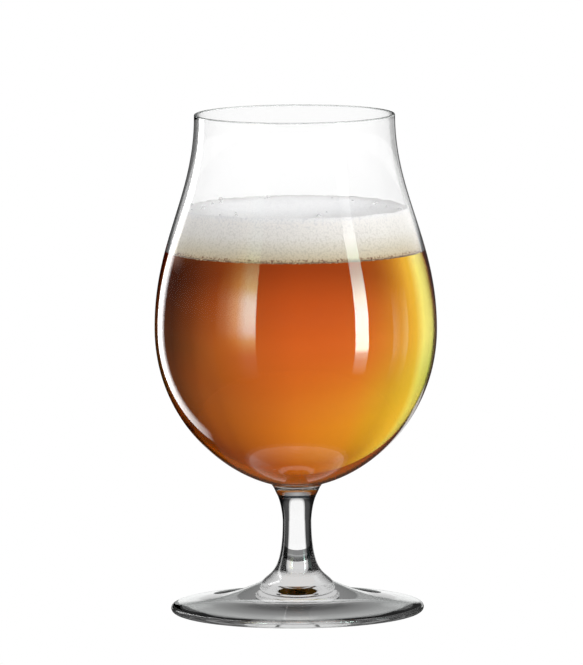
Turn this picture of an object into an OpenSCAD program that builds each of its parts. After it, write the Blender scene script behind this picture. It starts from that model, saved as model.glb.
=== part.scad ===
// Stemmed tulip beer glass with its pour.
// Three pieces of clear glass, welded bowl to stem to foot, hold the beer and its foam head.
// Millimetres, +Z up, origin at the centre of the foot's resting face.

/* [Bowl] */
// Outside diameter at the rim
rim_d = 63.2; // [56:0.1:72]
// Outside diameter at the widest place
bowl_d = 89; // [82:0.5:98]
// Height of the bowl, from its weld up to the rim
bowl_h = 120.3; // [110:0.1:135]
// Depth of the stub of glass under the rounded bottom, down to the weld
bowl_stub = 2.1; // [1.5:0.1:4]
// Height of the widest place above the rounded bottom
belly_h = 50.4; // [44:0.1:58]
// Wall at the rim
rim_wall = 0.9; // [0.7:0.05:1.8]
// Wall at the widest place
belly_wall = 1.3; // [1:0.05:2.2]
// Glass at the bottom of the bowl, above the stub
floor_wall = 1.6; // [1.4:0.1:4]

/* [Stem] */
// Length of the stem, from weld to weld
stem_l = 28.1; // [22:0.1:60]
// Diameter at the waist
stem_d = 9.1; // [7:0.1:11]
// Diameter of the weld to the bowl
bowl_weld_d = 12.8; // [11.5:0.1:15]
// Diameter of the weld to the foot
foot_weld_d = 22.6; // [19:0.1:27]

/* [Foot] */
// Outside diameter of the foot
foot_d = 79.8; // [68:0.1:92]
// Height of the foot at its weld
foot_h = 9.2; // [7.5:0.1:13]
// Thickness of the half-round edge
foot_edge = 2.2; // [1.6:0.1:3.2]
// Width of the flat ring that stands on the table
rest_ring_w = 2.3; // [1.5:0.1:5]
// Glass over the hollow, under the middle of the stem
foot_wall = 2.7; // [2:0.1:5]

/* [Pour] */
// Depth of the beer over the middle of the bowl
beer_depth = 73.3; // [40:0.1:76]
// Height of the foam at the glass
foam_h = 14; // [6:0.5:20]
// Rise of the foam towards its middle
foam_crown = 1.2; // [0.4:0.1:3]
// Clearance between the pour and the glass
pour_gap = 0.1; // [0.05:0.05:0.3]

/* [Hidden] */

// Heights of the welds and of the bowl's main places
foot_weld_z = foot_h;
bowl_weld_z = foot_weld_z + stem_l;
bowl_bottom_z = bowl_weld_z + bowl_stub;
widest_z = bowl_bottom_z + belly_h;
glass_h = bowl_weld_z + bowl_h;
lip_r = rim_wall / 2;
lip_z = glass_h - lip_r;

// Levels of the pour
beer_floor_z = bowl_bottom_z + floor_wall + pour_gap;
beer_top_z = beer_floor_z + beer_depth;
foam_top_z = beer_top_z + foam_h;

// How full the bowl's curves are, as shares of the height or radius that they cross
bottom_round_share = 0.43;
belly_round_share = 0.615;
shoulder_round_share = 0.416;
neck_round_share = 0.38;
// Where on the rounded bottom, from its pole to the widest place, the stub's fillet ends
stub_reach_share = 0.152;
stub_round_share = 0.4;

// The stem's waist, and the slopes and fullness of its flares
waist_share = 0.7;
stem_top_angle = 61.5;
stem_base_angle = 54;
waist_up_share = 0.1;
waist_down_share = 0.89;
stem_top_share = 0.37;
stem_base_share = 0.21;

// The foot's slopes at the weld and at the edge, and their fullness across the foot
foot_weld_angle = 26;
foot_edge_angle = 5;
foot_inner_share = 0.31;
foot_outer_share = 0.45;
// Where the hollow leaves the ring, how far it lifts there, and where its dome begins
hollow_ring_share = 0.685;
hollow_lift_share = 0.06;
hollow_dome_share = 0.356;

// Straight stretches in each curve, in a half-round edge and round the axis
curve_steps = 24;
edge_steps = 10;
$fn = 180;

glass_tint = [0.82, 0.88, 0.9, 0.4];
beer_tint = [0.78, 0.36, 0.1];
foam_tint = [0.95, 0.92, 0.84];

// A curve is four points: two ends and, between them, the two that it leans towards
function at(curve, t) =
    pow(1 - t, 3) * curve[0] + 3 * t * pow(1 - t, 2) * curve[1]
    + 3 * t * t * (1 - t) * curve[2] + pow(t, 3) * curve[3];

function heading(curve, t) =
    let (v = pow(1 - t, 2) * (curve[1] - curve[0]) + 2 * t * (1 - t) * (curve[2] - curve[1])
             + t * t * (curve[3] - curve[2]))
    v / norm(v);

// Points along a curve after its start, which the stretch before it has already drawn
function along(curve, start = 0) =
    [for (i = [1:curve_steps]) at(curve, start + (1 - start) * i / curve_steps)];

// Points inside a half-round edge, from one angle to another, without the two ends
function round_edge(centre, r, from, to) =
    [for (i = [1:edge_steps - 1]) centre + r * polar(from + (to - from) * i / edge_steps)];

function polar(angle) = [cos(angle), sin(angle)];
function reversed(points) = [for (i = [len(points) - 1:-1:0]) points[i]];

// The bowl's side at a depth into the wall: rounded bottom up to the widest place, then up to the lip
function belly(wall, floor) =
    let (r = bowl_d / 2 - wall, z = bowl_bottom_z + floor)
    [[0, z], [bottom_round_share * r, z], [r, widest_z - belly_round_share * (widest_z - z)], [r, widest_z]];

function neck(wall, lip_wall) =
    let (r = bowl_d / 2 - wall, lip = rim_d / 2 - lip_wall, rise = lip_z - widest_z)
    [[r, widest_z], [r, widest_z + shoulder_round_share * rise],
     [lip, lip_z - neck_round_share * rise], [lip, lip_z]];

// The fillet from the weld's edge out to the rounded bottom
function stub(outside) =
    let (weld = [bowl_weld_d / 2, bowl_weld_z], end = at(outside, stub_reach_share),
         reach = stub_round_share * norm(end - weld))
    [weld, weld + reach * polar(stem_top_angle), end - reach * heading(outside, stub_reach_share), end];

// Half of the space inside the bowl, a clearance in from the glass
function cavity(gap) =
    let (low = belly(belly_wall + gap, floor_wall + gap), high = neck(belly_wall + gap, rim_wall + gap))
    concat([low[0]], along(low), along(high), [[0, lip_z]]);

// Blown shell with a fire-polished lip and, under it, the stub that the stem is welded to
module bowl() {
    outside = belly(0, 0);
    lip = round_edge([rim_d / 2 - lip_r, lip_z], lip_r, 0, 180);
    inside = concat([belly(belly_wall, floor_wall)[0]], along(belly(belly_wall, floor_wall)),
                    along(neck(belly_wall, rim_wall)));
    color(glass_tint) rotate_extrude()
        polygon(concat([[0, bowl_weld_z], [bowl_weld_d / 2, bowl_weld_z]], along(stub(outside)),
                       along(outside, stub_reach_share), along(neck(0, 0)), lip, reversed(inside)));
}

// Solid drawn column, waisted below the bowl and flared to the foot
module stem() {
    waist = [stem_d / 2, foot_weld_z + waist_share * stem_l];
    top = [bowl_weld_d / 2, bowl_weld_z];
    base = [foot_weld_d / 2, foot_weld_z];
    up = top[1] - waist[1];
    down = waist[1] - base[1];
    lower = [base, base + stem_base_share * down * polar(180 - stem_base_angle),
             waist - [0, waist_down_share * down], waist];
    upper = [waist, waist + [0, waist_up_share * up], top - stem_top_share * up * polar(stem_top_angle), top];
    color(glass_tint) rotate_extrude()
        polygon(concat([[0, foot_weld_z], base], along(lower), along(upper), [[0, bowl_weld_z]]));
}

// Pressed disc that slopes from the weld to a half-round edge, hollow underneath, and stands on a flat ring
module foot() {
    edge_r = foot_edge / 2;
    edge_centre = [foot_d / 2 - edge_r, edge_r];
    weld = [foot_weld_d / 2, foot_weld_z];
    edge_top = edge_centre + edge_r * polar(90 - foot_edge_angle);
    across = edge_top[0] - weld[0];
    slope = [weld, weld + foot_inner_share * across * polar(-foot_weld_angle),
             edge_top + foot_outer_share * across * polar(180 - foot_edge_angle), edge_top];
    ring_r = edge_centre[0] - rest_ring_w;
    depth = foot_h - foot_wall;
    hollow = [[ring_r, 0], [hollow_ring_share * ring_r, hollow_lift_share * depth],
              [hollow_dome_share * ring_r, depth], [0, depth]];
    color(glass_tint) rotate_extrude()
        polygon(concat([[0, foot_weld_z], weld], along(slope),
                       round_edge(edge_centre, edge_r, 90 - foot_edge_angle, -90),
                       [[edge_centre[0], 0], hollow[0]], along(hollow)));
}

// The beer fills the bowl to a level top
module beer() {
    color(beer_tint) rotate_extrude() intersection() {
        polygon(cavity(pour_gap));
        translate([0, beer_floor_z]) square([bowl_d, beer_depth]);
    }
}

// The foam stands on the beer and rises a little towards its middle
module foam_head() {
    crown = [[bowl_d / 2, foam_top_z], [rim_d / 2, foam_top_z],
             [rim_d / 4, foam_top_z + foam_crown], [0, foam_top_z + foam_crown]];
    color(foam_tint) rotate_extrude() intersection() {
        polygon(cavity(pour_gap));
        polygon(concat([[0, beer_top_z], [bowl_d / 2, beer_top_z], crown[0]], along(crown)));
    }
}

bowl();
stem();
foot();
beer();
foam_head();
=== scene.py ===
"""Looks of a stemmed tulip beer glass with its pour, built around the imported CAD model.

Blown bowl, drawn stem and pressed foot are clear glass, fused where they meet. The bowl holds amber beer
under a foam head. Profiles are worked in millimetres and become metres when a mesh is made.
"""
import math

import bpy
from mathutils import Matrix, Vector


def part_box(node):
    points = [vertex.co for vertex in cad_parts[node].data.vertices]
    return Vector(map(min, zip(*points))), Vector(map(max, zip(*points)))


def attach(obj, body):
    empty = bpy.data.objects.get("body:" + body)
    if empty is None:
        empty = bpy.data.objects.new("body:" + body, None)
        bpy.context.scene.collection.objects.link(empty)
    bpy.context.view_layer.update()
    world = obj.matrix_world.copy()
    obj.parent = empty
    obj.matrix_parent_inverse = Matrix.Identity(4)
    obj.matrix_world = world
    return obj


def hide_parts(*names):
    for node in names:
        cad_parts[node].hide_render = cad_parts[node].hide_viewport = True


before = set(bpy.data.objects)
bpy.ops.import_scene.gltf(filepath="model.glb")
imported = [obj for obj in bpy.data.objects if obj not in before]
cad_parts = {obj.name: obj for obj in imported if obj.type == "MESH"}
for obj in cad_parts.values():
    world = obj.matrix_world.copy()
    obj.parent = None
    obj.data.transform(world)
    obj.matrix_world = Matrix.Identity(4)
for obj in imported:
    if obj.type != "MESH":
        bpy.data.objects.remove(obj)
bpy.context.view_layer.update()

MM = 0.001

# Places that the CAD pieces give, in millimetres
foot_low, foot_high = (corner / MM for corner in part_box("foot"))
stem_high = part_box("stem")[1] / MM
bowl_low, bowl_high = (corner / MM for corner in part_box("bowl"))
beer_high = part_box("beer")[1] / MM
foam_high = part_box("foam_head")[1] / MM
FOOT_R = min(foot_high.x, foot_high.y, -foot_low.x, -foot_low.y)
FOOT_WELD_R = stem_high.x
FOOT_WELD_Z = foot_high.z
BOWL_R = min(bowl_high.x, bowl_high.y, -bowl_low.x, -bowl_low.y)
BOWL_WELD_Z = bowl_low.z
GLASS_H = bowl_high.z
BEER_TOP_Z = beer_high.z

# Sizes that the pieces' boxes don't show, as in the CAD model
RIM_R = 31.6
BOWL_WELD_R = 6.4
BOWL_STUB = 2.1
BELLY_H = 50.4
RIM_WALL = 0.9
BELLY_WALL = 1.3
FLOOR_WALL = 1.6
WAIST_R = 4.55
FOOT_EDGE_R = 1.1
REST_RING_W = 2.3
FOOT_WALL = 2.7
FOAM_CROWN = 1.2
POUR_GAP = 0.1

BOWL_BOTTOM_Z = BOWL_WELD_Z + BOWL_STUB
WIDEST_Z = BOWL_BOTTOM_Z + BELLY_H
LIP_R = RIM_WALL / 2
LIP_Z = GLASS_H - LIP_R
FOAM_EDGE_Z = foam_high.z - FOAM_CROWN

# How full the curves are, as shares of the height or radius that they cross
BOTTOM_ROUND_SHARE = 0.43
BELLY_ROUND_SHARE = 0.615
SHOULDER_ROUND_SHARE = 0.416
NECK_ROUND_SHARE = 0.38
STUB_REACH_SHARE = 0.152
STUB_ROUND_SHARE = 0.4
WAIST_SHARE = 0.7
WAIST_UP_SHARE = 0.1
WAIST_DOWN_SHARE = 0.89
STEM_TOP_SHARE = 0.37
STEM_BASE_SHARE = 0.21
FOOT_INNER_SHARE = 0.31
FOOT_OUTER_SHARE = 0.45
HOLLOW_RING_SHARE = 0.685
HOLLOW_LIFT_SHARE = 0.06
HOLLOW_DOME_SHARE = 0.356
CROWN_EDGE_SHARE = 0.8
CROWN_MIDDLE_SHARE = 0.5
STEM_TOP_SLOPE = math.radians(61.5)
STEM_BASE_SLOPE = math.radians(54)
FOOT_WELD_SLOPE = math.radians(26)
FOOT_EDGE_SLOPE = math.radians(5)

# How finely the pieces are made
GLASS_SEGMENTS = 256
STEM_SEGMENTS = 160
FOAM_SEGMENTS = 600
CURVE_STEPS = 48
EDGE_STEPS = 14
FOAM_STEP = 0.42
BALL_SUBDIVISIONS = 2
HALVINGS = 40

# Bubbles of the foam: cells of its skin, the row at the beer's edge and the large ones on top
BUBBLE_SIZE = 0.6
BUBBLE_DEPTH = 0.3
LUMP_SIZE = 6.0
LUMP_DEPTH = 0.8
BEADS = 680
BEAD_R = (0.12, 0.32)
BEAD_JITTER = 0.12
BEAD_LIFT = 0.1
BEAD_SEED = 7
TOP_BUBBLE_R = (0.25, 0.9)
TOP_BUBBLES_PER_CM2 = 0.8
TOP_BUBBLES_INNER_R = 20
TOP_BUBBLE_SEED = 11
CM2_PER_M2 = 1e4
# A face looks up when its normal rises at least this much
LOOKS_UP = 0.7


# Curves of the profiles: a curve is two ends and, between them, the two points that it leans towards
def polar(angle, r=1.0):
    return Vector((r * math.cos(angle), r * math.sin(angle)))


def curve(*points):
    return [Vector(point) for point in points]


def at(bend, t):
    a, b, c, d = bend
    u = 1 - t
    return u * u * u * a + 3 * u * u * t * b + 3 * u * t * t * c + t * t * t * d


def heading(bend, t):
    a, b, c, d = bend
    u = 1 - t
    return (u * u * (b - a) + 2 * u * t * (c - b) + t * t * (d - c)).normalized()


def along(bend, steps=CURVE_STEPS, start=0.0, end=1.0):
    """Points after the start of a curve, up to its end."""
    return [at(bend, start + (end - start) * i / steps) for i in range(1, steps + 1)]


def round_edge(centre, r, start, end):
    """Points inside an arc, without its two ends."""
    return [centre + polar(start + (end - start) * i / EDGE_STEPS, r) for i in range(1, EDGE_STEPS)]


def share_at_height(bend, z):
    """How far along a rising curve it passes a height."""
    low, high = 0.0, 1.0
    for _ in range(HALVINGS):
        middle = (low + high) / 2
        low, high = (middle, high) if at(bend, middle).y < z else (low, middle)
    return (low + high) / 2


def belly(wall, floor):
    """The bowl's side at a depth into the wall and the floor, from its pole to the widest place."""
    r, z = BOWL_R - wall, BOWL_BOTTOM_Z + floor
    return curve((0, z), (BOTTOM_ROUND_SHARE * r, z),
                 (r, WIDEST_Z - BELLY_ROUND_SHARE * (WIDEST_Z - z)), (r, WIDEST_Z))


def neck(wall, lip_wall):
    """The bowl's side at a depth into the wall, from the widest place to the lip."""
    r, lip, rise = BOWL_R - wall, RIM_R - lip_wall, LIP_Z - WIDEST_Z
    return curve((r, WIDEST_Z), (r, WIDEST_Z + SHOULDER_ROUND_SHARE * rise),
                 (lip, LIP_Z - NECK_ROUND_SHARE * rise), (lip, LIP_Z))


def pour_wall():
    """The bowl's inner side above the widest place, the pour's clearance in from the glass."""
    return neck(BELLY_WALL + POUR_GAP, RIM_WALL + POUR_GAP)


def bowl_profile():
    outside = belly(0, 0)
    weld, stub_end = Vector((BOWL_WELD_R, BOWL_WELD_Z)), at(outside, STUB_REACH_SHARE)
    reach = STUB_ROUND_SHARE * (stub_end - weld).length
    stub = [weld, weld + polar(STEM_TOP_SLOPE, reach),
            stub_end - reach * heading(outside, STUB_REACH_SHARE), stub_end]
    lip = round_edge(Vector((RIM_R - LIP_R, LIP_Z)), LIP_R, 0, math.pi)
    floor, wall = belly(BELLY_WALL, FLOOR_WALL), neck(BELLY_WALL, RIM_WALL)
    fill_line = share_at_height(wall, BEER_TOP_Z)
    inside = [floor[0]] + along(floor) + along(wall, end=fill_line) + along(wall, start=fill_line)
    return ([Vector((0, BOWL_WELD_Z)), weld] + along(stub, EDGE_STEPS)
            + along(outside, start=STUB_REACH_SHARE) + along(neck(0, 0)) + lip + inside[::-1])


def stem_profile():
    base, top = Vector((FOOT_WELD_R, FOOT_WELD_Z)), Vector((BOWL_WELD_R, BOWL_WELD_Z))
    waist = Vector((WAIST_R, FOOT_WELD_Z + WAIST_SHARE * (BOWL_WELD_Z - FOOT_WELD_Z)))
    up, down = top.y - waist.y, waist.y - base.y
    lower = [base, base + polar(math.pi - STEM_BASE_SLOPE, STEM_BASE_SHARE * down),
             waist - Vector((0, WAIST_DOWN_SHARE * down)), waist]
    upper = [waist, waist + Vector((0, WAIST_UP_SHARE * up)),
             top - polar(STEM_TOP_SLOPE, STEM_TOP_SHARE * up), top]
    return [Vector((0, FOOT_WELD_Z)), base] + along(lower) + along(upper) + [Vector((0, BOWL_WELD_Z))]


def foot_profile():
    centre = Vector((FOOT_R - FOOT_EDGE_R, FOOT_EDGE_R))
    weld = Vector((FOOT_WELD_R, FOOT_WELD_Z))
    edge_top = centre + polar(math.pi / 2 - FOOT_EDGE_SLOPE, FOOT_EDGE_R)
    across = edge_top.x - weld.x
    slope = [weld, weld + polar(-FOOT_WELD_SLOPE, FOOT_INNER_SHARE * across),
             edge_top + polar(math.pi - FOOT_EDGE_SLOPE, FOOT_OUTER_SHARE * across), edge_top]
    ring_r, depth = centre.x - REST_RING_W, FOOT_WELD_Z - FOOT_WALL
    hollow = curve((ring_r, 0), (HOLLOW_RING_SHARE * ring_r, HOLLOW_LIFT_SHARE * depth),
                   (HOLLOW_DOME_SHARE * ring_r, depth), (0, depth))
    under = [Vector((centre.x, 0)), hollow[0]] + along(hollow)
    edge = round_edge(centre, FOOT_EDGE_R, math.pi / 2 - FOOT_EDGE_SLOPE, -math.pi / 2)
    points = [Vector((0, FOOT_WELD_Z)), weld] + along(slope) + edge + under
    return points[::-1]


def beer_profile():
    floor, wall = belly(BELLY_WALL + POUR_GAP, FLOOR_WALL + POUR_GAP), pour_wall()
    fill_line = share_at_height(wall, BEER_TOP_Z)
    return [floor[0]] + along(floor) + along(wall, end=fill_line) + [Vector((0, BEER_TOP_Z))]


def foam_profile(step):
    """The foam's side and crown, with points a step apart."""
    wall = pour_wall()
    low, high = share_at_height(wall, BEER_TOP_Z), share_at_height(wall, FOAM_EDGE_Z)
    edge = at(wall, high)
    crown = curve((edge.x, FOAM_EDGE_Z), (edge.x * CROWN_EDGE_SHARE, FOAM_EDGE_Z),
                  (edge.x * CROWN_MIDDLE_SHARE, foam_high.z), (0, foam_high.z))
    bottom = [Vector((0, BEER_TOP_Z)), at(wall, low)]
    side = along(wall, round((edge.y - BEER_TOP_Z) / step), low, high)
    return bottom + side + along(crown, round(edge.x / step))


# Nodes and meshes
def node(tree, kind, settings=None, inputs=None):
    """Adds a node, sets its properties, and sets or links its inputs by name or number."""
    made = tree.nodes.new(kind)
    for name, value in (settings or {}).items():
        setattr(made, name, value)
    for name, value in (inputs or {}).items():
        if isinstance(value, bpy.types.NodeSocket):
            tree.links.new(value, made.inputs[name])
        else:
            made.inputs[name].default_value = value
    return made


def geometry_tree(name, sockets):
    """An empty Geometry Nodes tree with a mesh in and out, and named inputs of the given kinds."""
    tree = bpy.data.node_groups.new(name, "GeometryNodeTree")
    tree.is_modifier = True
    tree.interface.new_socket("Mesh", in_out="OUTPUT", socket_type="NodeSocketGeometry")
    for label, kind in {"Mesh": "Geometry", **sockets}.items():
        tree.interface.new_socket(label, in_out="INPUT", socket_type="NodeSocket" + kind)
    return tree, tree.nodes.new("NodeGroupInput").outputs


def finish_tree(tree, geometry, material):
    real = node(tree, "GeometryNodeRealizeInstances", None, {"Geometry": geometry})
    dressed = node(tree, "GeometryNodeSetMaterial", None, {"Geometry": real.outputs[0], "Material": material})
    node(tree, "NodeGroupOutput", None, {0: dressed.outputs[0]})
    return tree


def turning_tree():
    """Turns a profile about Z on a wheel of a given radius, and creases it where the profile has a corner."""
    tree, given = geometry_tree("turned_profile", {
        "Segments": "Int", "Wheel radius": "Float", "Weld distance": "Float", "Crease angle": "Float",
        "Material": "Material"})
    wheel = node(tree, "GeometryNodeCurvePrimitiveCircle", None,
                 {"Resolution": given["Segments"], "Radius": given["Wheel radius"]})
    profile = node(tree, "GeometryNodeMeshToCurve", None, {"Mesh": given["Mesh"]})
    swept = node(tree, "GeometryNodeCurveToMesh", None,
                 {"Curve": wheel.outputs["Curve"], "Profile Curve": profile.outputs["Curve"]})
    closed = node(tree, "GeometryNodeMergeByDistance", None,
                  {"Geometry": swept.outputs["Mesh"], "Distance": given["Weld distance"]})
    bend = node(tree, "GeometryNodeInputMeshEdgeAngle")
    smooth = node(tree, "FunctionNodeCompare", {"data_type": "FLOAT", "operation": "LESS_THAN"},
                  {0: bend.outputs["Unsigned Angle"], 1: given["Crease angle"]})
    creased = node(tree, "GeometryNodeSetShadeSmooth", {"domain": "EDGE"},
                   {0: closed.outputs["Geometry"], "Shade Smooth": smooth.outputs["Result"]})
    return finish_tree(tree, creased.outputs[0], given["Material"])


def foam_tree():
    """Sinks a foam surface between round bubbles, and its top into low lumps, so that nothing stands out."""
    tree, given = geometry_tree("bubbled_foam", {
        "Bubble size": "Float", "Bubble depth": "Float", "Lump size": "Float", "Lump depth": "Float",
        "Material": "Material"})
    place = node(tree, "GeometryNodeInputPosition").outputs[0]
    facing = node(tree, "GeometryNodeInputNormal").outputs[0]
    bubbles = node(tree, "ShaderNodeMath", {"operation": "DIVIDE"}, {0: 1.0, 1: given["Bubble size"]})
    cells = node(tree, "ShaderNodeTexVoronoi", None, {"Vector": place, "Scale": bubbles.outputs[0]})
    dome = node(tree, "ShaderNodeMath", {"operation": "POWER"}, {0: cells.outputs["Distance"], 1: 2.0})
    between = node(tree, "ShaderNodeMath", {"operation": "MULTIPLY"},
                   {0: dome.outputs[0], 1: given["Bubble depth"]})
    lumps = node(tree, "ShaderNodeMath", {"operation": "DIVIDE"}, {0: 1.0, 1: given["Lump size"]})
    swell = node(tree, "ShaderNodeTexNoise", None,
                 {"Vector": place, "Scale": lumps.outputs[0], "Detail": 1.0})
    up = node(tree, "ShaderNodeSeparateXYZ", None, {0: facing}).outputs["Z"]
    on_top = node(tree, "ShaderNodeMath", {"operation": "MULTIPLY", "use_clamp": True},
                  {0: up, 1: swell.outputs[0]})
    dip = node(tree, "ShaderNodeMath", {"operation": "MULTIPLY_ADD"},
               {0: on_top.outputs[0], 1: given["Lump depth"], 2: between.outputs[0]})
    inward = node(tree, "ShaderNodeMath", {"operation": "MULTIPLY"}, {0: dip.outputs[0], 1: -1.0})
    shift = node(tree, "ShaderNodeVectorMath", {"operation": "SCALE"},
                 {0: facing, "Scale": inward.outputs[0]})
    sunk = node(tree, "GeometryNodeSetPosition", None,
                {"Geometry": given["Mesh"], "Offset": shift.outputs[0]})
    return finish_tree(tree, sunk.outputs[0], given["Material"])


def beads(tree, points, given):
    """Instances of a small ball on points, of random size between two radii."""
    ball = node(tree, "GeometryNodeMeshIcoSphere", None, {"Radius": 1.0, "Subdivisions": BALL_SUBDIVISIONS})
    size = node(tree, "FunctionNodeRandomValue", {"data_type": "FLOAT"},
                {2: given["Smallest"], 3: given["Largest"], "Seed": given["Seed"]})
    return node(tree, "GeometryNodeInstanceOnPoints", None,
                {"Points": points, "Instance": ball.outputs[0], "Scale": size.outputs[1]}).outputs[0]


def bead_row_tree():
    """A row of balls round a ring, each a little up or down and in or out of it."""
    tree, given = geometry_tree("bead_row", {
        "Beads": "Int", "Ring radius": "Float", "Height": "Float", "Jitter": "Vector", "Smallest": "Float",
        "Largest": "Float", "Seed": "Int", "Material": "Material"})
    ring = node(tree, "GeometryNodeMeshCircle", None,
                {"Vertices": given["Beads"], "Radius": given["Ring radius"]})
    least = node(tree, "ShaderNodeVectorMath", {"operation": "SCALE"}, {0: given["Jitter"], "Scale": -1.0})
    stray = node(tree, "FunctionNodeRandomValue", {"data_type": "FLOAT_VECTOR"},
                 {0: least.outputs[0], 1: given["Jitter"], "Seed": given["Seed"]})
    lifted = node(tree, "ShaderNodeCombineXYZ", None, {"Z": given["Height"]})
    shift = node(tree, "ShaderNodeVectorMath", {"operation": "ADD"},
                 {0: lifted.outputs[0], 1: stray.outputs[0]})
    placed = node(tree, "GeometryNodeSetPosition", None,
                  {"Geometry": ring.outputs[0], "Offset": shift.outputs[0]})
    return finish_tree(tree, beads(tree, placed.outputs[0], given), given["Material"])


def top_bubbles_tree():
    """Balls strewn over the faces of a mesh that look up, outside an inner radius."""
    tree, given = geometry_tree("strewn_bubbles", {
        "Per square metre": "Float", "Inner radius": "Float", "Smallest": "Float", "Largest": "Float",
        "Seed": "Int", "Material": "Material"})
    facing = node(tree, "GeometryNodeInputNormal").outputs[0]
    up = node(tree, "ShaderNodeSeparateXYZ", None, {0: facing}).outputs["Z"]
    flat = node(tree, "FunctionNodeCompare", {"data_type": "FLOAT", "operation": "GREATER_THAN"},
                {0: up, 1: LOOKS_UP})
    strewn = node(tree, "GeometryNodeDistributePointsOnFaces", None, {
        "Mesh": given["Mesh"], "Selection": flat.outputs[0], "Density": given["Per square metre"],
        "Seed": given["Seed"]})
    place = node(tree, "GeometryNodeInputPosition").outputs[0]
    level = node(tree, "ShaderNodeVectorMath", {"operation": "MULTIPLY"}, {0: place, 1: (1, 1, 0)})
    reach = node(tree, "ShaderNodeVectorMath", {"operation": "LENGTH"}, {0: level.outputs[0]})
    inner = node(tree, "FunctionNodeCompare", {"data_type": "FLOAT", "operation": "LESS_THAN"},
                 {0: reach.outputs["Value"], 1: given["Inner radius"]})
    kept = node(tree, "GeometryNodeDeleteGeometry", None,
                {"Geometry": strewn.outputs["Points"], "Selection": inner.outputs[0]})
    return finish_tree(tree, beads(tree, kept.outputs[0], given), given["Material"])


def made_mesh(name, host, tree, values):
    """Runs a Geometry Nodes tree on a host mesh with its inputs set, and gives a plain object."""
    start = bpy.data.objects.new(name + ".start", host)
    bpy.context.scene.collection.objects.link(start)
    modifier = start.modifiers.new("shape", "NODES")
    modifier.node_group = tree
    for socket in tree.interface.items_tree:
        if socket.in_out == "INPUT" and socket.name in values:
            modifier[socket.identifier] = values[socket.name]
    graph = bpy.context.evaluated_depsgraph_get()
    mesh = bpy.data.meshes.new_from_object(start.evaluated_get(graph))
    bpy.data.objects.remove(start)
    bpy.data.meshes.remove(host)
    mesh.name = name
    piece = bpy.data.objects.new(name, mesh)
    bpy.context.scene.collection.objects.link(piece)
    return piece


TURNING = turning_tree()
WHEEL_R = 10.0
WELD_DISTANCE = 0.001
CREASE_ANGLE = math.radians(25)


def turned(name, profile, segments, material):
    """A closed piece turned from a profile of radius and height that runs up its outside.
    The sweep lays a profile's Y downwards, so it takes the points from last to first to face outwards."""
    host = bpy.data.meshes.new(name + ".profile")
    points = [((p.x - WHEEL_R) * MM, -p.y * MM, 0) for p in reversed(profile)]
    host.from_pydata(points, [(i, i + 1) for i in range(len(points) - 1)], [])
    return made_mesh(name, host, TURNING, {
        "Segments": segments, "Wheel radius": WHEEL_R * MM, "Weld distance": WELD_DISTANCE * MM,
        "Crease angle": CREASE_ANGLE, "Material": material})


# Materials: colours are sRGB codes, heights and reaches are in millimetres
WHITE = "#FFFFFF"
GLASS_IOR = 1.5
BEER_IOR = 1.34
LIP_TRANSMISSION = 0.6
BEER_STAIN = "#F7CB7A"
BEER_STAIN_PER_M = 60.0
# A painted glow on the foam's underside, in place of light that comes through the foam
PAINTED_UNDERSIDE_LIGHT = "#A6FDE4"
PAINTED_UNDERSIDE_LIGHT_STRENGTH = 0.95
WET_FOAM_ROUGHNESS = 0.5
FOAM_ROUGHNESS = 0.55
BEAD_ROUGHNESS = 0.12
FILM_ROUGHNESS = 0.08
FILM_COVER = (0.15, 0.8)
FILM_BLEND = 0.4
# Where on a bubble, from its middle outwards, the film between bubbles begins and has taken over
BUBBLE_FILM_REACH = (0.45, 0.8)
# With this blend Layer Weight runs from 0, looked at squarely, to 1, looked along
EVEN_BLEND = 0.5
# The stem's sides are painted dark. Its flares are pale over the foot's weld up to the first height and dark
# from the second, and pale again, by a share, close under the bowl's weld
FOOT_FLARE = (3.0, 4.2)
BOWL_FLARE = 1.2
BOWL_FLARE_SHARE = 0.6


def srgb(code):
    """An sRGB hex colour as linear RGBA."""
    parts = [int(code[i:i + 2], 16) / 255 for i in (1, 3, 5)]
    return [c / 12.92 if c <= 0.04045 else ((c + 0.055) / 1.055) ** 2.4 for c in parts] + [1.0]


def new_material(name):
    made = bpy.data.materials.new(name)
    made.use_nodes = True
    made.node_tree.nodes.clear()
    return made, made.node_tree


def finish_material(tree, looks):
    surface = node(tree, "ShaderNodeBsdfPrincipled", None, looks)
    node(tree, "ShaderNodeOutputMaterial", None, {"Surface": surface.outputs["BSDF"]})


def graded(tree, value, stops):
    """A light that runs straight between stops of place, level and, where it isn't white, tint."""
    stops = [(*stop, WHITE)[:3] for stop in stops]
    low, high = stops[0][0], stops[-1][0]
    top = max(level for _, level, _ in stops)
    share = node(tree, "ShaderNodeMapRange", None, {"Value": value, "From Min": low, "From Max": high})
    ramp = node(tree, "ShaderNodeValToRGB", None, {"Fac": share.outputs["Result"]})
    marks = ramp.color_ramp.elements
    while len(marks) < len(stops):
        marks.new(0.5)
    for mark, (place, level, tint) in zip(marks, stops):
        mark.position = (place - low) / (high - low)
        mark.color = [channel * level / top for channel in srgb(tint)[:3]] + [1.0]
    return node(tree, "ShaderNodeVectorMath", {"operation": "SCALE"},
                {0: ramp.outputs["Color"], "Scale": top}).outputs["Vector"]


def laid_over(tree, layers, base):
    """A base under layers, each with its share of cover, the first on top.
    A colour is a socket, a code or RGBA."""
    colour = base
    for share, layer in reversed(layers):
        below, above = (srgb(c) if isinstance(c, str) else c for c in (colour, layer))
        colour = node(tree, "ShaderNodeMix", {"data_type": "RGBA"}, {0: share, 6: below, 7: above}).outputs[2]
    return colour


def place_in_mm(tree):
    spot = node(tree, "ShaderNodeTexCoord").outputs["Object"]
    scaled = node(tree, "ShaderNodeVectorMath", {"operation": "SCALE"}, {0: spot, "Scale": 1 / MM})
    return node(tree, "ShaderNodeSeparateXYZ", None, {0: scaled.outputs[0]}).outputs


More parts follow.
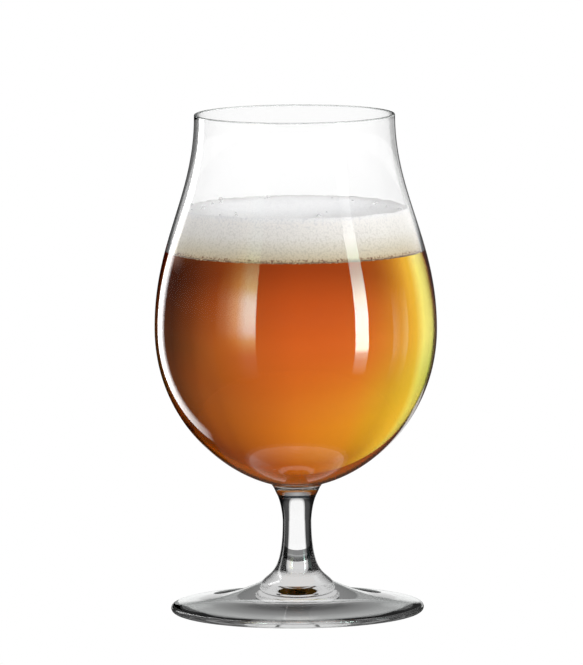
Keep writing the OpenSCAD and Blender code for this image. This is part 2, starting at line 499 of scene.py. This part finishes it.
def clear_glass(name, ior, tints, heights=None, other_tints=None, transmission=1.0):
    """Glass whose tint runs from where it is looked at squarely to its edge.
    Where the tint goes dark towards the edge, that is painted shade.
    Heights with a share each say where other tints take over."""
    made, tree = new_material(name)
    edge = node(tree, "ShaderNodeLayerWeight", None, {"Blend": EVEN_BLEND}).outputs["Facing"]
    tint = graded(tree, edge, tints)
    if heights:
        share = graded(tree, place_in_mm(tree)["Z"], heights)
        tint = laid_over(tree, [(share, graded(tree, edge, other_tints))], tint)
    finish_material(tree, {
        "Base Color": tint, "Roughness": 0.0, "IOR": ior, "Transmission Weight": transmission})
    return made


def fused_seam(name, tint):
    """Where two pieces of glass are one: nothing shows but a little of the light that the seam takes."""
    made, tree = new_material(name)
    clear = node(tree, "ShaderNodeBsdfTransparent", None, {"Color": srgb(tint)})
    node(tree, "ShaderNodeOutputMaterial", None, {"Surface": clear.outputs["BSDF"]})
    return made


def amber_beer():
    """Bright clear beer: yellow where little of it is looked through, redder and darker where it is deep."""
    made, tree = new_material("amber_beer_filtered")
    clear = node(tree, "ShaderNodeBsdfTransparent")
    stain = node(tree, "ShaderNodeVolumeAbsorption", None,
                 {"Color": srgb(BEER_STAIN), "Density": BEER_STAIN_PER_M})
    node(tree, "ShaderNodeOutputMaterial", None,
         {"Surface": clear.outputs["BSDF"], "Volume": stain.outputs["Volume"]})
    return made


def from_bubble_middle(tree):
    """How far a place of the foam is from the middle of its bubble, in bubble sizes."""
    spot = node(tree, "ShaderNodeTexCoord").outputs["Object"]
    cells = node(tree, "ShaderNodeTexVoronoi", None, {"Vector": spot, "Scale": 1 / (BUBBLE_SIZE * MM)})
    return cells.outputs["Distance"]


def beer_foam():
    """Dry and white at the top, wetter and browner down to the beer, with beer between the lowest bubbles.
    The browner lower part is partly painted light: amber light from the beer below.
    """
    made, tree = new_material("beer_foam_poured")
    height = place_in_mm(tree)["Z"]
    bubble = graded(tree, height, [(BEER_TOP_Z + up, 1, tint) for up, tint in (
        (0, "#4A2410"), (0.15, "#5E3418"), (0.5, "#C9B48C"), (1.6, "#D6CAAC"), (3.8, "#DED7C4"),
        (7.4, "#EFECE5"), (11.9, "#F8F5F0"), (14, "#F8F8F8"))])
    film = graded(tree, height, [(BEER_TOP_Z + up, 1, tint) for up, tint in (
        (0, "#4A2410"), (0.9, "#7A4A26"), (1.4, "#C4B796"), (3.8, "#CEC7B3"), (8, "#E2DFD7"),
        (14, "#EDEDEE"))])
    between = node(tree, "ShaderNodeMapRange", None, {
        "Value": from_bubble_middle(tree), "From Min": BUBBLE_FILM_REACH[0],
        "From Max": BUBBLE_FILM_REACH[1]})
    colour = laid_over(tree, [(between.outputs["Result"], film)], bubble)
    finish_material(tree, {"Base Color": colour, "Roughness": FOAM_ROUGHNESS})
    return made


def foam_underside():
    """The lowest bubbles, seen from below through the beer: pale, with a painted glow in place of the light
    that comes through the foam.
    """
    made, tree = new_material("beer_foam_wet_underside_painted_glow")
    made.cycles.emission_sampling = "NONE"
    colour = graded(tree, from_bubble_middle(tree), [
        (0, 1, "#F4E8D0"), (0.5, 1, "#DCC8A0"), (1, 1, "#A88850")])
    # The emission is painted light: the underside glows as if lit through the foam
    finish_material(tree, {
        "Base Color": colour, "Roughness": WET_FOAM_ROUGHNESS, "Emission Color": srgb(PAINTED_UNDERSIDE_LIGHT),
        "Emission Strength": PAINTED_UNDERSIDE_LIGHT_STRENGTH})
    return made


def foam_bead():
    """Single bubbles at the beer's edge: pale, wet and shiny, with a painted dark brown rim where each is
    looked along, standing in for the beer's brown between them.
    """
    made, tree = new_material("beer_foam_wet_bead")
    edge = node(tree, "ShaderNodeLayerWeight", None, {"Blend": EVEN_BLEND}).outputs["Facing"]
    colour = graded(tree, edge, [
        (0, 1, "#E9D3AE"), (0.45, 1, "#D9B98A"), (0.8, 1, "#6A3A1C"), (1, 1, "#4A2410")])
    finish_material(tree, {"Base Color": colour, "Roughness": BEAD_ROUGHNESS})
    return made


def bubble_film():
    """A large bubble's film: clear where it is looked at squarely, and milky and bright round its edge,
    where white cover is painted in place of the film's reflection.
    """
    made, tree = new_material("beer_foam_bubble_film")
    edge = node(tree, "ShaderNodeLayerWeight", None, {"Blend": FILM_BLEND}).outputs["Facing"]
    cover = node(tree, "ShaderNodeMapRange", None, {
        "Value": edge, "To Min": FILM_COVER[0], "To Max": FILM_COVER[1]})
    finish_material(tree, {
        "Base Color": srgb("#F8F8F8"), "Roughness": FILM_ROUGHNESS, "Alpha": cover.outputs["Result"]})
    return made


# The bowl's outside: painted shade darkens the glass where the eye looks along the wall, less so in the thin
# neck
BLOWN_GLASS = clear_glass(
    "soda_lime_glass_blown_painted_dark_edge", GLASS_IOR, [(0, 1), (0.74, 1), (0.8, 0.1), (1, 0.05)],
    [(WIDEST_Z, 0), (FOAM_EDGE_Z, 1)], [(0, 1), (0.74, 1), (0.8, 0.45), (1, 0.4)])
# The solid stem: a clear core between dark sides, painted shade where a rod of glass turns the light away,
# and paler flares
DRAWN_GLASS = clear_glass(
    "soda_lime_glass_drawn_painted_dark_sides", GLASS_IOR, [(0, 1), (0.13, 1), (0.19, 0.005), (1, 0.003)],
    [(FOOT_WELD_Z, 1), (FOOT_WELD_Z + FOOT_FLARE[0], 1), (FOOT_WELD_Z + FOOT_FLARE[1], 0),
     (BOWL_WELD_Z - BOWL_FLARE, 0), (BOWL_WELD_Z, BOWL_FLARE_SHARE), (BOWL_BOTTOM_Z + 1, BOWL_FLARE_SHARE)],
    [(0, 1), (0.4, 1), (0.7, 0.05), (1, 0.003)])
# The foot: clear, with a trace of green at its edge, where the way through the glass is long
PRESSED_GLASS = clear_glass("soda_lime_glass_pressed", GLASS_IOR, [(0, 1), (0.6, 1), (1, 1, "#DCE6E2")])
# The lip lets only part of the light through: its soft grey line round the mouth is painted shade, darker at
# the edge, and it catches light
LIP_GLASS = clear_glass(
    "soda_lime_glass_fire_polished", GLASS_IOR, [(0, 1, "#DADCDB"), (0.5, 1, "#D2D5D3"), (1, 1, "#BEC2C0")],
    transmission=LIP_TRANSMISSION)
# The wall that the beer wets: it bends light as glass against beer does, so the beer nearly fills the outline
WET_GLASS = clear_glass(
    "soda_lime_glass_wetted_by_beer", GLASS_IOR / BEER_IOR, [(0, 1), (0.6, 1), (1, 1, "#F2F4EE")])
FOOT_SEAM = fused_seam("soda_lime_glass_fused_at_foot", WHITE)
BOWL_SEAM = fused_seam("soda_lime_glass_fused_at_bowl", "#747E86")
BEER = amber_beer()
FOAM = beer_foam()
UNDERSIDE = foam_underside()
BEAD = foam_bead()
BUBBLE = bubble_film()


# Pieces
FLAT = 0.999
LEVEL_SLACK = 0.01
STUB_SLACK = 0.5
LOOKS_DOWN = -0.5


def give_faces(piece, material, belongs):
    """Gives a further material to the faces whose centre and normal a rule picks."""
    piece.data.materials.append(material)
    slot = len(piece.data.materials) - 1
    for face in piece.data.polygons:
        if belongs(face.center / MM, face.normal):
            face.material_index = slot


def on_disc(z, r):
    """A rule for the flat faces of a weld."""
    return lambda c, n: abs(c.z - z) < LEVEL_SLACK and c.xy.length < r and abs(n.z) > FLAT


def wetted(c, n):
    """The bowl's inner wall below the fill line."""
    inward = n.x * c.x + n.y * c.y < 0 or n.z > FLAT
    return inward and BOWL_BOTTOM_Z + FLOOR_WALL - LEVEL_SLACK < c.z < BEER_TOP_Z


def on_lip(c, n):
    return c.z > LIP_Z


def on_stub(c, n):
    """The bowl's outside round its weld, which carries on the stem."""
    return c.z < BOWL_BOTTOM_Z + STUB_SLACK and n.z < 0


def on_beer(c, n):
    """The foam's faces that rest on the beer."""
    return n.z < LOOKS_DOWN and c.z < BEER_TOP_Z + BUBBLE_DEPTH


def dress(piece, slot, *nodes):
    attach(piece, "root")
    if nodes:
        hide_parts(*nodes)


bowl = turned("bowl_glass", bowl_profile(), GLASS_SEGMENTS, BLOWN_GLASS)
give_faces(bowl, WET_GLASS, wetted)
give_faces(bowl, LIP_GLASS, on_lip)
give_faces(bowl, DRAWN_GLASS, on_stub)
give_faces(bowl, BOWL_SEAM, on_disc(BOWL_WELD_Z, BOWL_WELD_R))
stem = turned("stem_glass", stem_profile(), STEM_SEGMENTS, DRAWN_GLASS)
give_faces(stem, BOWL_SEAM, on_disc(BOWL_WELD_Z, BOWL_WELD_R))
give_faces(stem, FOOT_SEAM, on_disc(FOOT_WELD_Z, FOOT_WELD_R))
foot = turned("foot_glass", foot_profile(), GLASS_SEGMENTS, PRESSED_GLASS)
give_faces(foot, FOOT_SEAM, on_disc(FOOT_WELD_Z, FOOT_WELD_R))
beer = turned("beer_pour", beer_profile(), GLASS_SEGMENTS, BEER)
foam_start = turned("foam_start", foam_profile(FOAM_STEP), FOAM_SEGMENTS, FOAM)
foam = made_mesh("foam_body", foam_start.data.copy(), foam_tree(), {
    "Bubble size": BUBBLE_SIZE * MM, "Bubble depth": BUBBLE_DEPTH * MM, "Lump size": LUMP_SIZE * MM,
    "Lump depth": LUMP_DEPTH * MM, "Material": FOAM})
bpy.data.objects.remove(foam_start)
give_faces(foam, UNDERSIDE, on_beer)
fill_wall = pour_wall()
fill_r = at(fill_wall, share_at_height(fill_wall, BEER_TOP_Z)).x
edge_beads = made_mesh("foam_edge_beads", bpy.data.meshes.new("beads.start"), bead_row_tree(), {
    "Beads": BEADS, "Ring radius": (fill_r - BEAD_R[1] - BEAD_JITTER) * MM,
    "Height": (BEER_TOP_Z + BEAD_LIFT) * MM, "Jitter": [BEAD_JITTER * MM] * 3, "Smallest": BEAD_R[0] * MM,
    "Largest": BEAD_R[1] * MM, "Seed": BEAD_SEED, "Material": BEAD})
top_bubbles = made_mesh("foam_top_bubbles", foam.data.copy(), top_bubbles_tree(), {
    "Per square metre": TOP_BUBBLES_PER_CM2 * CM2_PER_M2, "Inner radius": TOP_BUBBLES_INNER_R * MM,
    "Smallest": TOP_BUBBLE_R[0] * MM, "Largest": TOP_BUBBLE_R[1] * MM, "Seed": TOP_BUBBLE_SEED,
    "Material": BUBBLE})

dress(bowl, "clear_glass", "bowl")
dress(stem, "clear_glass", "stem")
dress(foot, "clear_glass", "foot")
dress(beer, "amber_beer", "beer")
dress(foam, "beer_foam", "foam_head")
dress(edge_beads, "beer_foam")
dress(top_bubbles, "beer_foam")

# Camera, fitted to the photograph's rim, widest place and foot
PHOTO_W, PHOTO_H = 583, 665
CAMERA_DISTANCE = 2900
CAMERA_HEIGHT = 428.1
CAMERA_PITCH = math.radians(6.681)
CAMERA_YAW = math.radians(0.0268)
CAMERA_ROLL = math.radians(-0.3642)
FOCAL_PX = 9271.1
SENSOR_MM = 36.0

scene = bpy.context.scene
camera_data = bpy.data.cameras.new("camera")
camera_data.sensor_width = SENSOR_MM
camera_data.lens = FOCAL_PX / max(PHOTO_W, PHOTO_H) * SENSOR_MM
camera = bpy.data.objects.new("camera", camera_data)
camera.matrix_world = (Matrix.Translation((0, -CAMERA_DISTANCE * MM, CAMERA_HEIGHT * MM))
                       @ Matrix.Rotation(CAMERA_YAW, 4, "Z")
                       @ Matrix.Rotation(math.pi / 2 - CAMERA_PITCH, 4, "X")
                       @ Matrix.Rotation(CAMERA_ROLL, 4, "Z"))
scene.collection.objects.link(camera)
scene.camera = camera

# Studio: the camera sees plain white, and what the glass sees depends on what a ray has passed through
scene.view_settings.view_transform = "Standard"
scene.cycles.max_bounces = 32
scene.cycles.transmission_bounces = 32
scene.cycles.glossy_bounces = 16
scene.cycles.transparent_max_bounces = 64

FLOOR_REACH = 6000
FLOOR_DROP = 0.2
# Out to these reaches the floor lies under the foot, round it, and near enough to show through the neck
UNDER_REACH = 36
RING_REACH = 60
NEAR_REACH = 300

# Greys that the glass sees, from a flag to a pale card, and a light a little over white
FLAG = "#2A2A2A"
ROOM = "#404040"
BEER_MIRRORED = "#7C7C7C"
DIM = "#808080"
GREY = "#8C8C8C"
FAR_MIRRORED = "#A0A0A0"
FOAM_BOUNCE = "#CCCCCC"
PALE = "#D8D8D8"
EMPTY_BOWL_LEVEL = [1.08, 1.08, 1.08, 1.0]

# Tints that, laid on beer, leave a highlight cool, white or warm
COOL = "#C4FFF3"
ICE = "#CCFFF4"
MINT = "#DDFFF1"
STRAW = "#FFF3BC"
# Tints of the light behind the beer, the first named for what the beer makes of it, and of the foam's shade
YELLOW = "#9CFDFC"
WARM = "#FFE0CC"
PINK = "#FFE1FF"
LEAF = "#F0FFF0"
AMBER = "#FFD96D"
CREAM = "#FFF0B8"
LILAC = "#E6E4F0"

# Switches that tell rays apart by how often they were bent, mirrored, scattered or let through, which are
# whole numbers, or by the metres since then
RAY_KINDS = {
    "lights_foam": ("Diffuse Depth", "GREATER_THAN", 0.5),
    "outside": ("Transmission Depth", "LESS_THAN", 0.5),
    "in_glass_only": ("Transmission Depth", "LESS_THAN", 2.5),
    "through_two_walls": ("Transmission Depth", "GREATER_THAN", 2.5),
    "mirrored_in_glass": ("Glossy Depth", "GREATER_THAN", 0.5),
    "mirrored_often": ("Glossy Depth", "GREATER_THAN", 1.5),
    "through_beer": ("Transparent Depth", "GREATER_THAN", 1.5),
    "from_stem": ("Ray Length", "GREATER_THAN", 0.03),
}


def ray_kinds(tree):
    path = node(tree, "ShaderNodeLightPath").outputs
    kinds = {name: node(tree, "ShaderNodeMath", {"operation": test}, {0: path[depth], 1: level}).outputs[0]
             for name, (depth, test, level) in RAY_KINDS.items()}
    kinds["camera"] = path["Is Camera Ray"]
    return kinds


def turned_from_back(tree, x, y, half_period):
    """The angle of a place or direction about Z from +Y in degrees, folded into a period."""
    turn = node(tree, "ShaderNodeMath", {"operation": "ARCTAN2"}, {0: x, 1: y}).outputs[0]
    folded = node(tree, "ShaderNodeMath", {"operation": "WRAP"},
                  {0: turn, 1: math.radians(half_period), 2: -math.radians(half_period)}).outputs[0]
    return node(tree, "ShaderNodeMath", {"operation": "DEGREES"}, {0: folded}).outputs[0]


def stage_sheet(name, corners, turn=0.0):
    """A flat sheet of the stage."""
    mesh = bpy.data.meshes.new(name)
    mesh.from_pydata([Vector(corner) * MM for corner in corners], [], [range(len(corners))])
    sheet = bpy.data.objects.new(name, mesh)
    sheet.rotation_euler.z = turn
    scene.collection.objects.link(sheet)
    return sheet


def studio_floor():
    """White to the camera, a graded pattern under solid glass, and see-through to rays from the bowl."""
    made, tree = new_material("studio_floor")
    spot = place_in_mm(tree)
    kinds = ray_kinds(tree)
    level_spot = node(tree, "ShaderNodeCombineXYZ", None, {"X": spot["X"], "Y": spot["Y"]}).outputs[0]
    reach = node(tree, "ShaderNodeVectorMath", {"operation": "LENGTH"}, {0: level_spot}).outputs["Value"]
    under_foot, beyond_ring, near = (
        node(tree, "ShaderNodeMath", {"operation": test}, {0: reach, 1: limit}).outputs[0]
        for test, limit in (
            ("LESS_THAN", UNDER_REACH), ("GREATER_THAN", RING_REACH), ("LESS_THAN", NEAR_REACH)))

    # Under the foot it is dark in the middle and paler outwards, with four white blocks, one of them in front
    turn = turned_from_back(tree, spot["X"], spot["Y"], half_period=45)
    in_front = graded(tree, turn, [(-45, 0), (-15, 0), (-6, 1), (6, 1), (15, 0), (45, 0)])
    outer = graded(tree, reach, [(0, 0), (26, 0), (33, 1), (UNDER_REACH, 1)])
    block = node(tree, "ShaderNodeMath", {"operation": "MULTIPLY"}, {0: outer, 1: in_front}).outputs[0]
    dark_middle = graded(tree, reach, [(0, 0.05), (14, 0.1), (24, 0.32), (31, 0.62), (UNDER_REACH, 0.85)])
    under = laid_over(tree, [(block, WHITE)], dark_middle)

    ring = laid_over(tree, [(kinds["mirrored_in_glass"], DIM), (kinds["from_stem"], DIM)], WHITE)
    far = laid_over(tree, [(kinds["mirrored_in_glass"], FAR_MIRRORED)], WHITE)
    two_walls = laid_over(tree, [(kinds["mirrored_often"], FLAG)], DIM)
    often = laid_over(tree, [(under_foot, GREY), (beyond_ring, GREY)], FLAG)
    light = laid_over(tree, [
        (kinds["camera"], WHITE), (kinds["lights_foam"], FOAM_BOUNCE),
        (kinds["through_two_walls"], two_walls), (kinds["through_beer"], PALE),
        (kinds["mirrored_often"], often), (under_foot, under), (beyond_ring, far)], ring)

    from_bowl = node(tree, "ShaderNodeMath", {"operation": "MULTIPLY"},
                     {0: kinds["through_beer"], 1: kinds["from_stem"]}).outputs[0]
    seen = node(tree, "ShaderNodeMath", {"operation": "SUBTRACT", "use_clamp": True},
                {0: near, 1: from_bowl}).outputs[0]
    solid = node(tree, "ShaderNodeMath", {"operation": "MAXIMUM"},
                 {0: kinds["in_glass_only"], 1: kinds["lights_foam"]}).outputs[0]
    shown = node(tree, "ShaderNodeMath", {"operation": "MAXIMUM"}, {0: solid, 1: seen}).outputs[0]
    glow = node(tree, "ShaderNodeEmission", None, {"Color": light}).outputs[0]
    clear = node(tree, "ShaderNodeBsdfTransparent").outputs[0]
    mixed = node(tree, "ShaderNodeMixShader", None, {0: shown, 1: clear, 2: glow})
    node(tree, "ShaderNodeOutputMaterial", None, {"Surface": mixed.outputs[0]})
    return made


def card(name, turn, reach, half, across, up):
    """A lit card that faces the glass, turned about Z from +Y by degrees, which only mirrors see.
    Its light is graded across, in shares of its half width, and up, in millimetres."""
    low, high = up[0][0], up[-1][0]
    corners = [(-half, reach, low), (half, reach, low), (half, reach, high), (-half, reach, high)]
    sheet = stage_sheet(name, corners, math.radians(turn))
    made, tree = new_material(name)
    spot = place_in_mm(tree)
    side = graded(tree, spot["X"], [(share * half, *look) for share, *look in across])
    height = graded(tree, spot["Z"], up)
    light = node(tree, "ShaderNodeVectorMath", {"operation": "MULTIPLY"}, {0: side, 1: height})
    glow = node(tree, "ShaderNodeEmission", None,
                {"Color": light.outputs["Vector"], "Strength": ray_kinds(tree)["outside"]})
    node(tree, "ShaderNodeOutputMaterial", None, {"Surface": glow.outputs[0]})
    sheet.data.materials.append(made)
    sheet.visible_camera = False
    sheet.visible_diffuse = False
    sheet.visible_transmission = False
    sheet.visible_shadow = False


def studio_room():
    """The room round the glass: white to the camera, and graded by turn and lift for rays from the glass."""
    room = bpy.data.worlds.new("studio")
    room.use_nodes = True
    tree = room.node_tree
    tree.nodes.clear()
    direction = node(tree, "ShaderNodeTexCoord").outputs["Generated"]
    toward = node(tree, "ShaderNodeSeparateXYZ", None, {0: direction}).outputs
    turn = turned_from_back(tree, toward["X"], toward["Y"], half_period=90)
    rise = node(tree, "ShaderNodeMath", {"operation": "ARCSINE"}, {0: toward["Z"]}).outputs[0]
    lift = node(tree, "ShaderNodeMath", {"operation": "DEGREES"}, {0: rise}).outputs[0]
    kinds = ray_kinds(tree)

    # Behind the beer: brown on one side, orange in the middle and yellow on the other, and by height
    beer_side = graded(tree, turn, [
        (-90, 0.85), (-68, 1.0), (-58, 4.4, YELLOW), (-44, 4.8, YELLOW), (-37, 2.7, "#B9FFAA"),
        (-25, 1.6, "#D3FFC7"), (-14, 1.05), (0, 1.0), (7, 0.84), (18, 0.64, "#F6FFFF"), (28, 0.27),
        (34, 0.17), (40, 0.1), (52, 0.1), (66, 0.8), (90, 0.85)])
    beer_rise = graded(tree, lift, [
        (-90, 0.8), (-20, 0.8), (-17, 0.5, WARM), (-14, 0.5, WARM), (-10, 0.8, "#FFEEE6"), (-4, 1.0),
        (5, 1.1, "#F1FFD2"), (9, 1.18, "#EBFFC9"), (15, 1.13, "#EFFFA9"), (24, 0.86, "#FFFE94"),
        (34, 0.67, "#FFE07F"), (41, 0.75, AMBER), (60, 0.6, AMBER), (90, 0.4, AMBER)])
    bright_rise = graded(tree, lift, [
        (-90, 1.0), (-3, 1.0), (5, 1.0, "#F8FFF0"), (10, 0.98, "#FCFFD8"), (18, 1.08, "#FFF6C4"),
        (30, 1.12, CREAM), (90, 1.0, CREAM)])
    low_side = graded(tree, turn, [
        (-90, 1.0), (-46, 0.8), (-40, 0.95), (-25, 1.12, LEAF), (-14, 1.35, "#E6FFE0"), (-6, 1.2, LEAF),
        (2, 1.0), (10, 0.95, "#FFF2FF"), (20, 0.9, PINK), (27, 1.3, PINK), (40, 1.7, PINK), (52, 1.7, PINK),
        (66, 1.0), (90, 1.0)])
    bright_side = graded(tree, turn, [(-64, 0), (-50, 1), (-34, 1), (-20, 0), (90, 0)])
    from_above = graded(tree, lift, [(-90, 1), (-42, 1), (-17, 0), (90, 0)])
    from_below = graded(tree, lift, [(-90, 0), (-2, 0), (6, 0.8), (15, 1), (90, 1)])
    side = laid_over(tree, [(from_above, WHITE)], beer_side)
    height = laid_over(tree, [(bright_side, bright_rise)], beer_rise)
    low = laid_over(tree, [(from_below, low_side)], WHITE)
    upright = node(tree, "ShaderNodeVectorMath", {"operation": "MULTIPLY"}, {0: height, 1: low})
    beer_light = node(tree, "ShaderNodeVectorMath", {"operation": "MULTIPLY"},
                      {0: side, 1: upright.outputs["Vector"]}).outputs["Vector"]
    beer_seen = laid_over(tree, [(kinds["mirrored_in_glass"], BEER_MIRRORED)], beer_light)

    # Behind the stem and the foot, on the foam, and behind the empty neck
    cyclorama = graded(tree, lift, [(-90, 1), (3, 1), (8, 0.75), (15, 0.55), (25, 0.4), (35, 0.3), (90, 0.2)])
    open_sky = graded(tree, lift, [(-90, 1), (12, 1), (20, 0.5), (30, 0.1), (90, 0.03)])
    solid_light = laid_over(tree, [
        (kinds["through_beer"], PALE), (kinds["mirrored_often"], GREY),
        (kinds["mirrored_in_glass"], cyclorama)], open_sky)
    foam_side = graded(tree, toward["X"], [
        (-1, 7.0), (-0.8, 2.2), (-0.6, 0.9, LILAC), (-0.4, 1.0, LILAC), (0, 5.6), (0.5, 5.4), (1, 5.6)])
    foam_rise = graded(tree, lift, [(-90, 1), (5, 1), (30, 0.27), (60, 0.25), (90, 0.29)])
    foam_light = node(tree, "ShaderNodeVectorMath", {"operation": "MULTIPLY"},
                      {0: foam_side, 1: foam_rise}).outputs["Vector"]
    empty_light = laid_over(tree, [(kinds["mirrored_often"], FLAG)], EMPTY_BOWL_LEVEL)

    light = laid_over(tree, [
        (kinds["camera"], WHITE), (kinds["lights_foam"], foam_light), (kinds["outside"], ROOM),
        (kinds["in_glass_only"], solid_light), (kinds["through_beer"], beer_seen)], empty_light)
    glow = node(tree, "ShaderNodeBackground", None, {"Color": light})
    node(tree, "ShaderNodeOutputWorld", None, {"Surface": glow.outputs["Background"]})
    return room


floor = stage_sheet("studio_floor", [
    (x * FLOOR_REACH, y * FLOOR_REACH, -FLOOR_DROP) for x, y in ((-1, -1), (1, -1), (1, 1), (-1, 1))])
floor.data.materials.append(studio_floor())
floor.visible_glossy = False

# The broad soft highlight and the hard strip on the bowl's front
card("softbox_left", 135.8, 140.7, 41,
     [(-1, 13.5, MINT), (-0.55, 12.5, MINT), (-0.1, 6, STRAW), (0.4, 1.8, STRAW), (1, 0)],
     [(15, 0), (58, 0.05), (70, 0.17, STRAW), (80, 0.4, STRAW), (90, 0.76), (98, 0.92), (107, 1), (119, 1),
      (134, 0.62, STRAW), (158, 0.24, STRAW), (172, 0.08), (190, 0)])
card("strip_right", 227.5, 145.5, 13.2, [(-1, 24), (1, 24)],
     [(26, 0), (35, 0.05, MINT), (51, 0.13, ICE), (62, 0.3, ICE), (69, 0.9, MINT), (105, 0.9),
      (121, 0.8, ICE), (138, 0.5, ICE), (150, 0.36, ICE), (172, 0.22), (184, 0), (190, 0)])
# The bright line down the bowl's left side and the faint pair on its right
card("panel_back_left", 53.6, 72, 30, [(-1, 0), (-0.85, 3.5), (-0.75, 5.5), (-0.4, 5.5), (-0.33, 0), (1, 0)],
     [(4, 0), (14, 0.35), (29, 0.6), (45, 0.8), (62, 1), (190, 1)])
card("strip_far_right", 262, 137, 19, [(-1, 1.5, COOL), (0, 0.3, COOL), (1, 1.5, COOL)],
     [(15, 0), (50, 0.3), (65, 1), (90, 1), (120, 0), (190, 0)])
# The pale sides of the neck, and the light on the foot
NECK_LIGHT = [(116, 0), (126, 1), (190, 1)]
card("panel_neck_left", 56, 110, 55, [(-1, 0), (-0.1, 0.95), (0.8, 0.95), (1, 0)], NECK_LIGHT)
card("panel_neck_right", -56, 110, 55, [(-1, 0), (-0.8, 0.95), (0.1, 0.95), (1, 0)], NECK_LIGHT)
card("band_low_back", 0, 170, 110, [(-1, 1), (1, 1)], [(0, 1), (22, 1), (30, 0)])

scene.world = studio_room()
